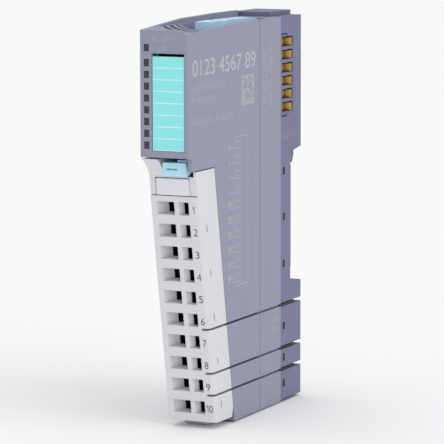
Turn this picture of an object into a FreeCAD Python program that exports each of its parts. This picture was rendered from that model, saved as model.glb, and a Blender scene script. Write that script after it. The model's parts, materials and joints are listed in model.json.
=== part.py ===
import FreeCAD, Part
import os
import re
import Sketcher
from FreeCAD import Placement, Rotation, Vector

# Slice module for a 35 mm mounting rail.
# X runs across the slice, Y runs back towards the rail, Z runs up.
# The origin is the centre of the face that rests on the rail.

driving = {
    # whole module
    "width": 14, "front": -66, "split": -6.9, "rear": 7, "roof": 55.9, "crest": 57.5,
    "keel": -51.8, "base_keel": -51.5, "skin": 1.2, "gap": 0.3,
    # electronics module
    "face": 1.6, "lip": 22.3, "skirt": 18.7, "cover_end": -21.1, "crest_front": 55.5,
    "crest_width": 1.1, "roof_skin": 3.2, "inner": 5.8, "corner": 0.8, "header_foot": -59.7,
    # slanted front connector, in its own tilted frame
    "tilt": 10, "grip_y": -59.9, "grip_z": 11.2, "plug_depth": 10.8, "plug_seat": 11, "plug_top": 18.4,
    "plug_foot": -50.4, "plug_joint": 8.6, "rows": 10, "row_pitch": 6.17, "row_first": -1.15,
    "hole_tall": 3.6, "wire_left": -5.5, "wire_right": -0.3, "wire_deep": 8, "tool_left": 0.9,
    "tool_right": 3.9, "tool_deep": 6.2, "wire_inner": -3.3, "wire_lip": 3, "tool_inner": 1.9,
    "tool_lip": 1.5, "hinge_y": 12, "hinge_z": -62.6, "axle": 1, "claw": 2.2,
    "claw_width": 6, "ear_right": -2.5, "cheek": 5.9, "step": 0.25, "cheek_round": 1.1, "slot_left": 0.6,
    "slot_right": 4.2,
    # grooves for the next module's power blades
    "groove_deep": 2.2, "groove_tall": 1.1, "groove_thin": 0.6, "groove_a": -24.5, "groove_b": -36.7,
    "groove_c": -42.8,
    # rail seat and catch
    "seat_half": 17.9, "seat_flat": 14.5, "relief": 0.3, "rise": 1.1, "hook_near": 1.3, "hook_far": 4.2,
    "hook_drop": 3.2, "catch_drop": 1.9, "catch_left": -5, "catch_right": 1.4, "catch_foot": -43.6,
    "turn_z": -40.4, "turn_x": -1.8, "turn_radius": 2.9, "crank": 2, "crank_radius": 0.6,
    # base
    "core": 5.5, "core_front": -20, "core_top": 54.2, "core_foot": -50.2, "shelf_right": 3.8,
    "bay_right": 2.2, "lid": 1.1,
    # side bus
    "bus_top": 48.8, "bus_pitch": 3.63, "bus_tall": 2.1, "bus_front": -6, "bus_rear": 1, "bus_deep": 2.6,
    # indicators and label
    "light_left": -5.8, "light_right": -4.3, "light_top": 51.9, "light_tall": 1.9, "light_next": 48,
    "light_pitch": 3.08, "label_left": -3.5, "label_right": 5.9, "label_foot": 24, "label_top": 49.5,
    "label_deep": 0.9,
    # release lever
    "lever_left": -2, "lever_right": 2.1, "lever_front": -43, "lever_rear": -9.2, "lever_axis_y": -33.3,
    "lever_axis_z": 53.6, "lug_front": -36, "lug_rear": -30.6, "pin_radius": 0.7, "bore_gap": 0.05,
    "trough": 51.2,
    # ejector
    "tab_left": -1.5, "tab_right": 5.1, "tab_front": -64, "tab_axis_y": -57, "tab_axis_z": 19.7,
    # fins and hollow in the roof
    "scoop": 54.5, "scoop_end": -54.4, "fins_end": -46,
    # board
    "board_left": -3.4, "board": 1, "board_top": 52, "board_rear": -25, "board_foot": -44,
}

doc = FreeCAD.newDocument("plc_module")
sheet = doc.addObject("Spreadsheet::Sheet", "Dims")
for row, (name, size) in enumerate(driving.items(), start=1):
    sheet.set(f"A{row}", name)
    sheet.set(f"B{row}", str(size))
    sheet.setAlias(f"B{row}", name)
doc.recompute()

planes = {"x": "YZ_Plane", "y": "XZ_Plane", "z": "XY_Plane"}
nodes = []


def bound(text):
    """An expression in which every word is a cell of the sheet."""
    return re.sub(r"\b(?!cos\b|sin\b)([a-z_]+)\b", r"Dims.\1", str(text))


def number(text):
    return float(sheet.evalExpression(bound(text)))


def node(thing, label):
    thing.Label = label
    nodes.append(thing)
    return thing


def sketch(body, normal, level):
    made = body.newObject("Sketcher::SketchObject", "outline")
    role = planes[normal]
    plane = [item for item in body.Origin.OriginFeatures if item.Role == role][0]
    made.AttachmentSupport = [(plane, "")]
    made.MapMode = "FlatFace"
    sign = "-" if normal == "y" else ""
    made.setExpression("AttachmentOffset.Base.z", f"{sign}({bound(level)})")
    return made


def hold(made, kind, *where, size):
    """One dimension of a sketch, tied to the sheet."""
    index = made.addConstraint(Sketcher.Constraint(kind, *where, number(size)))
    made.setExpression(f"Constraints[{index}]", bound(size))


def draw_outline(made, points):
    spots = [Vector(number(across), number(up), 0) for across, up in points]
    last = len(points)
    for index in range(last):
        made.addGeometry(Part.LineSegment(spots[index], spots[(index + 1) % last]))
    for index in range(last):
        made.addConstraint(Sketcher.Constraint("Coincident", index, 2, (index + 1) % last, 1))
    for index, (across, up) in enumerate(points):
        hold(made, "DistanceX", -1, 1, index, 1, size=across)
        hold(made, "DistanceY", -1, 1, index, 1, size=up)


def draw_circle(made, across, up, radius):
    centre = Vector(number(across), number(up), 0)
    index = made.addGeometry(Part.Circle(centre, Vector(0, 0, 1), number(radius)))
    hold(made, "Radius", index, size=radius)
    hold(made, "DistanceX", -1, 1, index, 3, size=across)
    hold(made, "DistanceY", -1, 1, index, 3, size=up)


def grow(body, normal, low, high, points):
    made = sketch(body, normal, low)
    draw_outline(made, points)
    return finish_pad(body, made, normal, low, high)


def finish_pad(body, made, normal, low, high):
    pad = body.newObject("PartDesign::Pad", "pad")
    pad.Profile = made
    pad.Reversed = normal == "y"
    pad.setExpression("Length", bound(f"({high}) - ({low})"))
    doc.recompute()
    return pad


def finish_cut(body, made, normal, low, high):
    before = body.Shape.Volume
    pocket = body.newObject("PartDesign::Pocket", "pocket")
    pocket.Profile = made
    pocket.Reversed = normal != "y"
    pocket.setExpression("Length", bound(f"({high}) - ({low})"))
    doc.recompute()
    if pocket.Shape.Volume > before - 0.001:
        raise ValueError(f"{body.Label}: a pocket cuts nothing")
    return pocket


def cut(body, normal, low, high, points):
    made = sketch(body, normal, low)
    draw_outline(made, points)
    return finish_cut(body, made, normal, low, high)


def bore(body, normal, low, high, across, up, radius):
    made = sketch(body, normal, low)
    draw_circle(made, across, up, radius)
    return finish_cut(body, made, normal, low, high)


def rectangle(left, right, low, high):
    return [(left, low), (right, low), (right, high), (left, high)]


def new_body(label):
    return node(doc.addObject("PartDesign::Body", label), label)


def box(label, left, right, near, far, low, high):
    made = doc.addObject("Part::Box", label)
    made.Label = label
    made.setExpression("Length", bound(f"({right}) - ({left})"))
    made.setExpression("Width", bound(f"({far}) - ({near})"))
    made.setExpression("Height", bound(f"({high}) - ({low})"))
    made.setExpression("Placement.Base.x", bound(left))
    made.setExpression("Placement.Base.y", bound(near))
    made.setExpression("Placement.Base.z", bound(low))
    return made


def rod(label, left, right, y, z, radius):
    """A round bar along X."""
    made = doc.addObject("Part::Cylinder", label)
    made.Label = label
    made.Placement = Placement(Vector(0, 0, 0), Rotation(Vector(0, 1, 0), 90))
    made.setExpression("Radius", bound(radius))
    made.setExpression("Height", bound(f"({right}) - ({left})"))
    made.setExpression("Placement.Base.x", bound(left))
    made.setExpression("Placement.Base.y", bound(y))
    made.setExpression("Placement.Base.z", bound(z))
    return made


def group(label, pieces):
    made = node(doc.addObject("Part::Compound", label), label)
    made.Links = pieces
    return made


def tilt_with_connector(thing):
    thing.Placement = Placement(Vector(0, 0, 0), Rotation(Vector(1, 0, 0), number("tilt")))
    thing.setExpression("Placement.Base.y", bound("grip_y"))
    thing.setExpression("Placement.Base.z", bound("grip_z"))
    thing.setExpression("Placement.Rotation.Angle", bound("tilt"))


def slant_y(depth, z):
    """Where the connector's plane at this depth crosses a height."""
    return f"grip_y + (({depth}) - (({z}) - grip_z) * sin(tilt)) / cos(tilt)"


def from_tilt(y, z):
    """A point of the connector's tilted frame, in the module's frame."""
    across = f"grip_y + ({y}) * cos(tilt) - ({z}) * sin(tilt)"
    up = f"grip_z + ({y}) * sin(tilt) + ({z}) * cos(tilt)"
    return across, up


def in_tilt(y, z):
    """A point of the module's frame, in the connector's tilted frame."""
    across = f"(({y}) - grip_y) * cos(tilt) + (({z}) - grip_z) * sin(tilt)"
    up = f"(({z}) - grip_z) * cos(tilt) - (({y}) - grip_y) * sin(tilt)"
    return across, up


grooves = ["groove_a", "groove_b", "groove_c"]


# ---- base module ---------------------------------------------------------------------------------

def base_shell():
    body = new_body("base_shell")
    back = [("split", "base_keel"), ("rear", "base_keel"), ("rear", "-seat_half - rise"),
            ("-relief", "-seat_half"), ("-relief", "-seat_flat"), ("0", "-seat_flat"), ("0", "seat_flat"),
            ("-relief", "seat_flat"), ("-relief", "seat_half"), ("rear", "seat_half + rise"),
            ("rear", "crest - gap"),
            ("split", "crest - gap")]
    grow(body, "x", "-width / 2", "width / 2", back)
    core = rectangle("core_front", "split + 1", "core_foot", "core_top")
    grow(body, "x", "-core", "core", core)
    hook = [("hook_near", "seat_half + 1"), ("hook_near", "seat_half - hook_drop"),
            ("hook_far - 1", "seat_half - hook_drop"), ("hook_far", "seat_half - 1"),
            ("hook_far", "seat_half + 1")]
    grow(body, "x", "-6", "6", hook)
    cut(body, "x", "shelf_right", "width / 2 + 1", rectangle("split - 1", "rear + 1", "roof", "crest + 1"))
    # bay for the board and the catch, open at the left
    bay = [("split + skin", "base_keel + 1.5"), ("rear - skin", "base_keel + 1.5"),
           ("rear - skin", "-seat_half - rise - 1.4"), ("-1.5", "-seat_half - 1.6"),
           ("-1.5", "seat_half + 1.6"), ("rear - skin", "seat_half + rise + 1.6"),
           ("rear - skin", "crest - gap - 1.5"), ("split + skin", "crest - gap - 1.5")]
    cut(body, "x", "lid - width / 2", "bay_right", bay)
    seat = rectangle("split + skin - 0.7", "rear - skin + 0.7", "base_keel + 0.7", "-seat_half - 2")
    upper = rectangle("split + skin - 0.7", "rear - skin + 0.7", "seat_half + 2", "crest - gap - 0.7")
    middle = rectangle("split + skin - 0.7", "-0.8", "-seat_half - 3", "seat_half + 3")
    for outline in (seat, upper, middle):
        cut(body, "x", "-width / 2", "lid - width / 2", outline)
    cut(body, "z", "core_foot + skin", "core_top - 6",
        rectangle("-core + skin", "core - skin", "core_front + skin", "split + skin + 0.5"))
    # channel for the lever's nose
    cut(body, "z", "core_top - 5", "core_top + 1", rectangle("lever_left - 0.8", "lever_right + 0.8",
                                                       "core_front - 1", "lever_rear + 1.2"))
    for groove in grooves:
        slot = rectangle("split - 1", "rear + 1", f"{groove} - groove_tall / 2",
                         f"{groove} + groove_tall / 2")
        cut(body, "x", "width / 2 - groove_deep", "width / 2 + 1", slot)
    bus_bay(body)
    snap_windows(body)
    # way for the catch through the top of the foot
    cut(body, "z", "-seat_half - rise - 2.5", "-seat_half + 1",
        rectangle("catch_left - 0.15", "catch_right + 0.15", "hook_near - 0.15", "hook_far + 0.15"))
    # screwdriver way from the front to the fastener
    bore(body, "y", "core_front - 1", "split + skin + 0.1", "turn_x", "turn_z", "turn_radius + 0.1")
    # socket seat
    cut(body, "y", "core_front - 1", "core_front + skin + 0.5", rectangle("-3.2", "3", "28", "44"))


def bus_bay(body):
    low = "bus_top - 5.5 * bus_pitch + 0.1"
    high = "bus_top + 0.5 * bus_pitch - 0.1"
    cut(body, "x", "width / 2 - bus_deep", "width / 2 + 1",
        rectangle("bus_front - 0.4", "bus_rear + 0.8", low, high))
    # hooked latch slots above and below the contacts
    for edge, turn in ((f"{high} + 0.6", "-0.7"), (f"{low} - 0.6", "0.7")):
        hook = [("split + 0.6", f"{edge} - 0.18"), ("bus_front + 3.3", f"{edge} - 0.18"),
                ("bus_front + 3.3", f"{edge} + 0.18"), ("split + 0.6", f"{edge} + 0.18")]
        cut(body, "x", "width / 2 - 0.8", "width / 2 + 1", hook)
        tip = [("bus_front + 3.3", edge), ("bus_front + 3.7", edge), ("bus_front + 3.7", f"{edge} + {turn}"),
               ("bus_front + 3.3", f"{edge} + {turn}")]
        cut(body, "x", "width / 2 - 0.8", "width / 2 + 1", tip)


def snap_windows(body):
    for z in ("13", "0.2", "-13", "-30.6", "-39.5", "-46.9"):
        cut(body, "x", "width / 2 - 1.6", "width / 2 + 1",
            rectangle("split + 1.5", "split + 3", f"{z} - 1.05", f"{z} + 1.05"))


def base_lid():
    body = new_body("base_lid")
    outline = [("split + skin - 0.6", "base_keel + 0.8"), ("rear - skin + 0.6", "base_keel + 0.8"),
               ("rear - skin + 0.6", "-seat_half - 2.1"), ("-0.9", "-seat_half - 2.1"),
               ("-0.9", "seat_half + 2.1"), ("rear - skin + 0.6", "seat_half + 2.1"),
               ("rear - skin + 0.6", "crest - gap - 0.8"), ("split + skin - 0.6", "crest - gap - 0.8")]
    grow(body, "x", "-width / 2", "lid - width / 2", outline)
    for step in range(6):
        low = f"bus_top - {step} * bus_pitch - bus_tall / 2"
        cut(body, "x", "-width / 2 - 1", "0.5 - width / 2",
            rectangle("bus_front + 1.2", "bus_rear + 1", low, f"{low} + bus_tall"))


def bus_carrier():
    body = new_body("bus_carrier")
    low = "bus_top - 5.5 * bus_pitch + 0.12"
    high = "bus_top + 0.5 * bus_pitch - 0.12"
    grow(body, "x", "width / 2 - bus_deep", "width / 2 - 0.02",
         rectangle("bus_front - 0.38", "bus_rear + 0.78", low, high))
    for step in range(6):
        foot = f"bus_top - {step} * bus_pitch - bus_tall / 2 - 0.12"
        cut(body, "x", "width / 2 - bus_deep + 0.8", "width / 2",
            rectangle("bus_front - 0.1", "bus_rear + 0.15", foot, f"{foot} + bus_tall + 0.6"))


def bus_contacts():
    """Six springs, each a folded strip whose bend faces the next module."""
    pieces = []
    for step in range(6):
        strip = doc.addObject("PartDesign::Body", f"bus_contact_{step + 1}")
        low = f"bus_top - {step} * bus_pitch - bus_tall / 2"
        inside = "width / 2 - bus_deep + 0.8"
        outline = [(inside, "bus_front"), (f"{inside} + 0.35", "bus_front"),
                   (f"{inside} + 0.35", "bus_rear - 1.4"), ("width / 2 - 0.35", "bus_rear - 1"),
                   ("width / 2 - 0.05", "bus_rear - 0.6"), ("width / 2 - 0.15", "bus_rear"),
                   (f"{inside} + 0.4", "bus_rear + 0.1"), (inside, "bus_rear + 0.1")]
        grow(strip, "z", low, f"{low} + bus_tall", outline)
        pieces.append(strip)
    group("bus_contacts", pieces)


def bus_pads():
    pieces = []
    for step in range(6):
        low = f"bus_top - {step} * bus_pitch - bus_tall / 2 + 0.05"
        pieces.append(box(f"bus_pad_{step + 1}", "0.05 - width / 2", "0.5 - width / 2", "bus_front + 1.25",
                          "bus_rear + 0.95", low, f"{low} + bus_tall - 0.1"))
    group("bus_pads", pieces)


def power_springs():
    pieces = []
    for index, groove in enumerate(grooves, start=1):
        pieces.append(box(f"power_spring_{index}", "width / 2 - groove_deep + 0.02", "width / 2 - 0.9",
                          "split + 2", "rear - 2.4", f"{groove} - groove_tall / 2 + 0.02", f"{groove} - 0.2"))
    group("power_springs", pieces)


def base_inner():
    node(box("base_board", "0.6", "1.6", "split + skin + 0.1", "-1.8", "-16.5", "53.5"), "base_board")
    socket = new_body("base_socket")
    grow(socket, "y", "core_front - 2", "core_front + skin + 0.4", rectangle("-3.1", "2.9", "28.1", "43.9"))
    for step in range(8):
        bore(socket, "y", "core_front - 3", "core_front + skin", "0", f"30 + {step} * 1.7", "0.45")


def rail_slide():
    body = new_body("rail_slide")
    top = "-seat_half + catch_drop"
    side = [("hook_near", "catch_foot"), ("hook_far", "catch_foot"), ("hook_far", "-seat_half + 1"),
            ("hook_far - 1", top), ("hook_near", top)]
    grow(body, "x", "catch_left", "catch_right", side)
    # slot that the fastener's crank pin works in
    cut(body, "y", "hook_near - 1", "hook_far + 1",
        rectangle("turn_x - crank_radius - 0.2", "turn_x + crank + crank_radius + 0.2",
                  "turn_z - crank_radius - 0.5", "turn_z + crank_radius + 0.5"))


def slide_spring():
    """Compression spring under the catch."""
    coil = doc.addObject("Part::Feature", "slide_spring")
    radius, wire, low, tall, turns = 1.05, 0.2, number("base_keel") + 1.75, 5.8, 6
    helix = Part.makeHelix(tall / turns, tall, radius)
    start = Part.Wire(Part.makeCircle(wire, Vector(radius, 0, 0), Vector(0, 1, 0)))
    coil.Shape = Part.Wire(helix).makePipeShell([start], True, True)
    middle_x = number("(catch_left + catch_right) / 2")
    middle_y = number("(hook_near + hook_far) / 2")
    coil.Placement = Placement(Vector(middle_x, middle_y, low), Rotation())
    node(coil, "slide_spring")


def turn_fastener():
    body = new_body("turn_fastener")
    made = sketch(body, "y", "split + skin - 1")
    draw_circle(made, "turn_x", "turn_z", "turn_radius")
    finish_pad(body, made, "y", "split + skin - 1", "hook_near - 0.35")
    made = sketch(body, "y", "hook_near - 0.5")
    draw_circle(made, "turn_x + crank", "turn_z", "crank_radius")
    finish_pad(body, made, "y", "hook_near - 0.5", "hook_far - 0.4")
    cut(body, "y", "split + skin - 2", "split + skin + 0.4", rectangle("turn_x - 2", "turn_x + 2",
                                                                       "turn_z - 0.4",
                                                                 "turn_z + 0.4"))


# ---- electronics module --------------------------------------------------------------------------

def electronics_outline():
    return [("front", "lip"), (slant_y("plug_seat", "lip"), "lip"), (slant_y("plug_seat", "keel"), "keel"),
            ("split", "keel"), ("split", "crest"), ("-22", "crest"), ("-42", "crest - 0.3"),
            ("-54", "crest - 1.1"), ("front", "crest_front")]


def electronics_shell():
    body = new_body("electronics_shell")
    grow(body, "x", "-width / 2", "width / 2", electronics_outline())
    cut(body, "x", "crest_width - width / 2", "width / 2 + 1",
        rectangle("front - 1", "split + 1", "roof", "crest + 1"))
    # room for the board, open at the right
    room = [("front + face", "lip + skin"), (slant_y("plug_seat + skin", "lip + skin"), "lip + skin"),
            from_tilt("plug_seat + skin", "header_foot - 0.05"),
            from_tilt("plug_seat + skin + 2.7", "header_foot - 0.05"),
            ("-33.2", "keel + skin"), ("cover_end", "keel + skin"), ("cover_end", "roof - roof_skin - 2.4"),
            ("fins_end - 0.5", "roof - roof_skin - 2.4"), ("fins_end - 0.5", "roof - roof_skin"),
            ("front + face", "roof - roof_skin")]
    cut(body, "x", "skin - width / 2", "width / 2 + 1", room)
    # collar that slides over the core of the base, open at the back
    cut(body, "y", "cover_end - 0.1", "split + 1",
        rectangle("-inner", "inner", "keel + skin", "roof - skin"))
    cut(body, "x", "inner + 0.1", "width / 2 + 1",
        [("front - 1", "lip - 1"), ("cover_end", "lip - 1"), ("cover_end", "roof + 1"),
         ("front - 1", "roof + 1")])
    cut(body, "x", "inner + 0.1", "width / 2 + 1",
        [(slant_y("plug_seat - 1", "lip"), "lip"), (slant_y("plug_seat - 1", "keel - 1"), "keel - 1"),
         ("cover_end", "keel - 1"), ("cover_end", "lip")])
    for groove in grooves:
        slot = rectangle("cover_end - 1", "split + 1", f"{groove} - groove_thin / 2",
                         f"{groove} + groove_thin / 2")
        cut(body, "x", "width / 2 - 0.8", "width / 2 + 1", slot)
        notch = rectangle(slant_y("plug_seat - 1", groove), slant_y("plug_seat + skin + 0.5", groove),
                          f"{groove} - groove_thin / 2", f"{groove} + groove_thin / 2")
        cut(body, "x", "width / 2 - groove_deep", "width / 2 + 1", notch)
    # shadow gap behind the side cover
    cut(body, "x", "width / 2 - 0.3", "width / 2 + 1", rectangle("cover_end - 0.1", "cover_end + 0.2",
                                                                 "keel - 1", "roof + 1"))
    # slot that the header's blades pass through
    blades = [from_tilt("plug_seat - 1", "header_foot"), from_tilt("plug_seat + skin + 0.1", "header_foot"),
              from_tilt("plug_seat + skin + 0.1", "row_first"), from_tilt("plug_seat - 1", "row_first")]
    cut(body, "x", "2.05", "3.15", blades)
    connector_hinge(body)
    front_details(body)
    roof_details(body)
    ejector_lugs(body)
    round_upright(body, "-width / 2", "front", "corner / 2")


def connector_hinge(body):
    """A round seat with a bar across it, for the connector's claw."""
    y, z = from_tilt("hinge_y", "hinge_z")
    made = sketch(body, "x", "-claw_width / 2 - 0.2")
    draw_circle(made, y, z, "claw + 0.25")
    draw_circle(made, y, z, "axle")
    finish_cut(body, made, "x", "-claw_width / 2 - 0.2", "claw_width / 2 + 0.2")


def front_details(body):
    cut(body, "y", "front - 1", "front + label_deep",
        rectangle("label_left", "label_right", "label_foot", "label_top"))
    # slot above the card, where it slides in
    cut(body, "y", "front - 1", "front + face + 0.1",
        rectangle("label_left + 0.1", "label_right - 0.2", "label_top - 0.75", "label_top"))
    windows = [("light_top", "light_tall")] + [(f"light_next - {step} * light_pitch",
                                                "light_tall") for step in range(8)]
    for top, tall in windows:
        cut(body, "y", "front - 1", "front + face + 0.1",
            rectangle("light_left", "light_right", f"{top} - {tall}", top))


def roof_details(body):
    # hollow that falls away to the right, behind a crowned front edge
    hollow = [("-inner", "crest + 1"), ("-inner", "scoop + 2.4"), ("-5.1", "scoop + 1.5"),
              ("-4.2", "scoop + 0.9"),
              ("-2.8", "scoop + 0.4"), ("-0.8", "scoop + 0.1"), ("inner + 1", "scoop"),
              ("inner + 1", "crest + 1")]
    cut(body, "y", "front + 1.4", "fins_end", hollow)
    crown = [("-width / 2 - 1", "crest_front + 0.1"), ("-4.7", "crest_front + 0.2"),
             ("0.8", "crest_front + 0.5"),
             ("3.2", "crest_front + 0.2"), ("5.4", "crest_front - 0.3"), ("inner + 0.1", "scoop + 0.1"),
             ("width / 2 + 1", "scoop + 0.1"), ("width / 2 + 1", "crest + 1"),
             ("-width / 2 - 1", "crest + 1")]
    cut(body, "y", "front - 1", "front + 1.5", crown)
    # gaps between the fins, two of them with a vent slit to the inside
    for near, far in (("9.6", "11.9"), ("13.3", "15.8"), ("17.2", "19")):
        cut(body, "z", "scoop - 1.1", "crest + 1", rectangle("-inner", "5", f"front + {near}",
                                                             f"front + {far}"))
    for y in ("front + 10.75", "front + 14.55"):
        cut(body, "z", "roof - roof_skin - 1", "scoop", rectangle("-4.6", "4.6", f"{y} - 0.25",
                                                                  f"{y} + 0.25"))
    # tray around the lever, with lugs left standing for its pin
    tray_foot = "trough + 0.6"
    cut(body, "z", tray_foot, "crest + 1", rectangle("-inner", "inner + 1", "fins_end", "lug_front"))
    cut(body, "z", tray_foot, "crest + 1", rectangle("-inner", "inner + 1", "lug_rear", "cover_end - 0.4"))
    cut(body, "z", "lever_axis_z + 1.2", "crest + 1", rectangle("-inner", "inner + 1", "lug_front - 1",
                                                                "lug_rear + 1"))
    for left, right in (("-inner", "lever_left - 2"), ("lever_right + 2", "inner + 1")):
        cut(body, "z", tray_foot, "crest + 1", rectangle(left, right, "lug_front - 1", "lug_rear + 1"))
    cut(body, "z", "roof - skin - 0.1", "crest + 1",
        rectangle("lever_right", "inner + 0.05", "cover_end - 0.5", "lever_rear - 3"))
    cut(body, "z", "trough", "crest + 1",
        rectangle("lever_left - gap", "lever_right + gap", "fins_end", "lever_rear + gap"))
    # slot for the lever's nose
    cut(body, "z", "core_top - 6", "trough + 1", rectangle("lever_left - gap", "lever_right + gap",
                                                     "core_front - 2", "core_front + 7.5"))
    bore(body, "x", "lever_left - 2", "lever_right + 2", "lever_axis_y", "lever_axis_z", "pin_radius")


def ejector_lugs(body):
    lug = [("tab_axis_y - 1.6", "lip + 0.5"), ("tab_axis_y - 1.6", "tab_axis_z - 1.4"),
           ("tab_axis_y + 1.6", "tab_axis_z - 1.4"), ("tab_axis_y + 1.6", "lip + 0.5")]
    grow(body, "x", "tab_left - 0.85", "tab_left - 0.15", lug)
    grow(body, "x", "tab_right + 0.15", "tab_right + 0.75", lug)
    bore(body, "x", "tab_left - 0.85", "tab_right + 0.75", "tab_axis_y", "tab_axis_z", "pin_radius")


def side_cover():
    body = new_body("side_cover")
    outline = [("front", "lip"), ("front + 1.9", "lip - 0.4"), ("front + 2.2", "skirt"),
               (slant_y("plug_seat", "skirt"), "skirt"), (slant_y("plug_seat", "keel"), "keel"),
               ("cover_end", "keel"), ("cover_end", "roof"), ("-42", "roof - 0.3"),
               ("scoop_end", "roof - 0.7"),
               ("front + 7", "roof - 1.1"), ("front", "scoop + 0.1")]
    grow(body, "x", "inner + 0.1", "width / 2", outline)
    for groove in grooves:
        foot = slant_y("plug_seat + skin + 0.6", groove)
        rib = rectangle(foot, "cover_end - 0.3", f"{groove} - 1", f"{groove} + 1")
        grow(body, "x", "width / 2 - groove_deep - 1", "inner + 0.2", rib)
        slot = rectangle(slant_y("plug_seat - 2", groove), "cover_end + 1", f"{groove} - groove_thin / 2",
                         f"{groove} + groove_thin / 2")
        cut(body, "x", "width / 2 - groove_deep", "width / 2 + 1", slot)
    round_upright(body, "width / 2", "front", "corner")


def indicators():
    tops = ["light_top"] + [f"light_next - {step} * light_pitch" for step in range(8)]
    windows = []
    lights = []
    for index, top in enumerate(tops, start=1):
        windows.append(box(f"window_{index}", "light_left + 0.02", "light_right - 0.02", "front + 0.12",
                           "front + face + 0.4", f"{top} - light_tall + 0.02", f"{top} - 0.02"))
        lights.append(box(f"light_{index}", "board_left - 0.7", "board_left", "front + face + 0.6",
                          "front + face + 1.8", f"{top} - light_tall + 0.4", f"{top} - 0.4"))
    group("indicator_windows", windows)
    group("indicator_lights", lights)


def circuit_board():
    body = new_body("circuit_board")
    front = "plug_seat + skin + 0.3"
    outline = [("front + face + 0.3", "lip + skin + 0.3"),
               (slant_y(front, "lip + skin + 0.3"), "lip + skin + 0.3"),
               (slant_y(front, "board_foot"), "board_foot"),
               ("board_rear", "board_foot"),
               ("board_rear", "board_top - 2.2"), ("scoop_end - 0.8", "board_top - 2.2"),
               ("scoop_end - 0.8", "board_top"),
               ("front + face + 0.3", "board_top")]
    grow(body, "x", "board_left", "board_left + board", outline)


def module_plug():
    node(box("module_plug", "board_left + board", "2.2", "board_rear - 4", "core_front - 2.4", "29", "43"),
         "module_plug")
    pins = []
    for step in range(8):
        pin = doc.addObject("Part::Cylinder", f"plug_pin_{step + 1}")
        pin.Placement = Placement(Vector(0, 0, 0), Rotation(Vector(1, 0, 0), -90))
        pin.setExpression("Radius", "0.3")
        pin.setExpression("Height", bound("2.8"))
        pin.setExpression("Placement.Base.y", bound("core_front - 2.4"))
        pin.setExpression("Placement.Base.z", bound(f"30 + {step} * 1.7"))
        pins.append(pin)
    group("plug_pins", pins)


def contact_header():
    header = new_body("contact_header")
    grow(header, "x", "board_left + board", "3.4",
         rectangle("plug_seat + skin + 0.1", "plug_seat + skin + 2.4", "header_foot", "row_first + 1.5"))
    tilt_with_connector(header)


def header_blades():
    blades = []
    for step in range(10):
        low = f"row_first - hole_tall / 2 - {step} * row_pitch - 1.2"
        blade = doc.addObject("PartDesign::Body", f"blade_{step + 1}")
        grow(blade, "z", low, f"{low} + 2.4", rectangle("2.25", "2.95", "7.7", "plug_seat + skin + 0.1"))
        tilt_with_connector(blade)
        blades.append(blade)
    group("header_blades", blades)


def board_parts():
    right = "board_left + board"
    node(box("coil_core", right, f"{right} + 5.2", "-42.6", "-33", "4", "16"), "coil_core")
    winding = doc.addObject("Part::Cylinder", "coil_winding")
    winding.Radius = 3
    winding.Height = 4.6
    winding.Placement = Placement(Vector(number(right), -39, 21.6), Rotation(Vector(0, 1, 0), 90))
    node(winding, "coil_winding")
    cans = []
    for index, z in enumerate(("-32", "-22", "-12"), start=1):
        can = doc.addObject("Part::Cylinder", f"capacitor_{index}")
        can.Placement = Placement(Vector(0, 0, 0), Rotation(Vector(1, 0, 0), -90))
        can.setExpression("Radius", "2.5")
        can.setExpression("Height", "8")
        can.setExpression("Placement.Base.x", bound(f"{right} + 2.5"))
        can.setExpression("Placement.Base.y", bound(slant_y("plug_seat + skin + 3", f"{z} - 2.5")))
        can.setExpression("Placement.Base.z", z)
        cans.append(can)
    group("capacitors", cans)
    chips = []
    places = ((-60, -54, 34, 40), (-50, -43, 38, 45), (-40, -36, 30, 38), (-33, -28, 12, 18))
    for index, (near, far, low, high) in enumerate(places, start=1):
        chips.append(box(f"chip_{index}", right, f"{right} + 1.4", near, far, low, high))
    group("chips", chips)
    node(rod("fuse", right, f"{right} + 2.4", "-52", "30", "1.3"), "fuse")


def label_card():
    node(box("label_card", "label_left + 0.15", "label_right - 0.15", "front + 0.15", "front + label_deep",
             "label_foot + 0.1", "label_top - 0.8"), "label_card")


def release_lever():
    body = new_body("release_lever")
    outline = [("lever_front", "56.4"), ("lever_front", "52.9"), ("lever_axis_y - 4", "52.1"),
               ("lever_axis_y + 4", "52.1"), ("core_front + 2.4", "52.3"),
               ("core_front + 2.4", "core_top - 4"),
               ("core_front + 5", "core_top - 3"), ("core_front + 5", "52.4"), ("lever_rear", "53.2"),
               ("lever_rear", "54.9"), ("-12.5", "55.9"), ("-16.5", "56.2"), ("-31.4", "56.4"),
               ("-33.3", "56.1"),
               ("-35.2", "56.5")]
    grow(body, "x", "lever_left", "lever_right", outline)
    bore(body, "x", "lever_left - 1", "lever_right + 1", "lever_axis_y", "lever_axis_z",
         "pin_radius + bore_gap")
    node(rod("lever_pin", "lever_left - 1.9", "lever_right + 1.9", "lever_axis_y", "lever_axis_z",
             "pin_radius"),
         "lever_pin")
    spring = new_body("lever_spring")
    strip = [("-42", "trough"), ("-36.5", "trough"), ("-36.5", "trough + 0.2"), ("-41", "trough + 0.2"),
             ("-37.3", "51.8"), ("-37.5", "52"), ("-42", "trough + 0.3")]
    grow(spring, "x", "-1.2", "1.3", strip)


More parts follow.
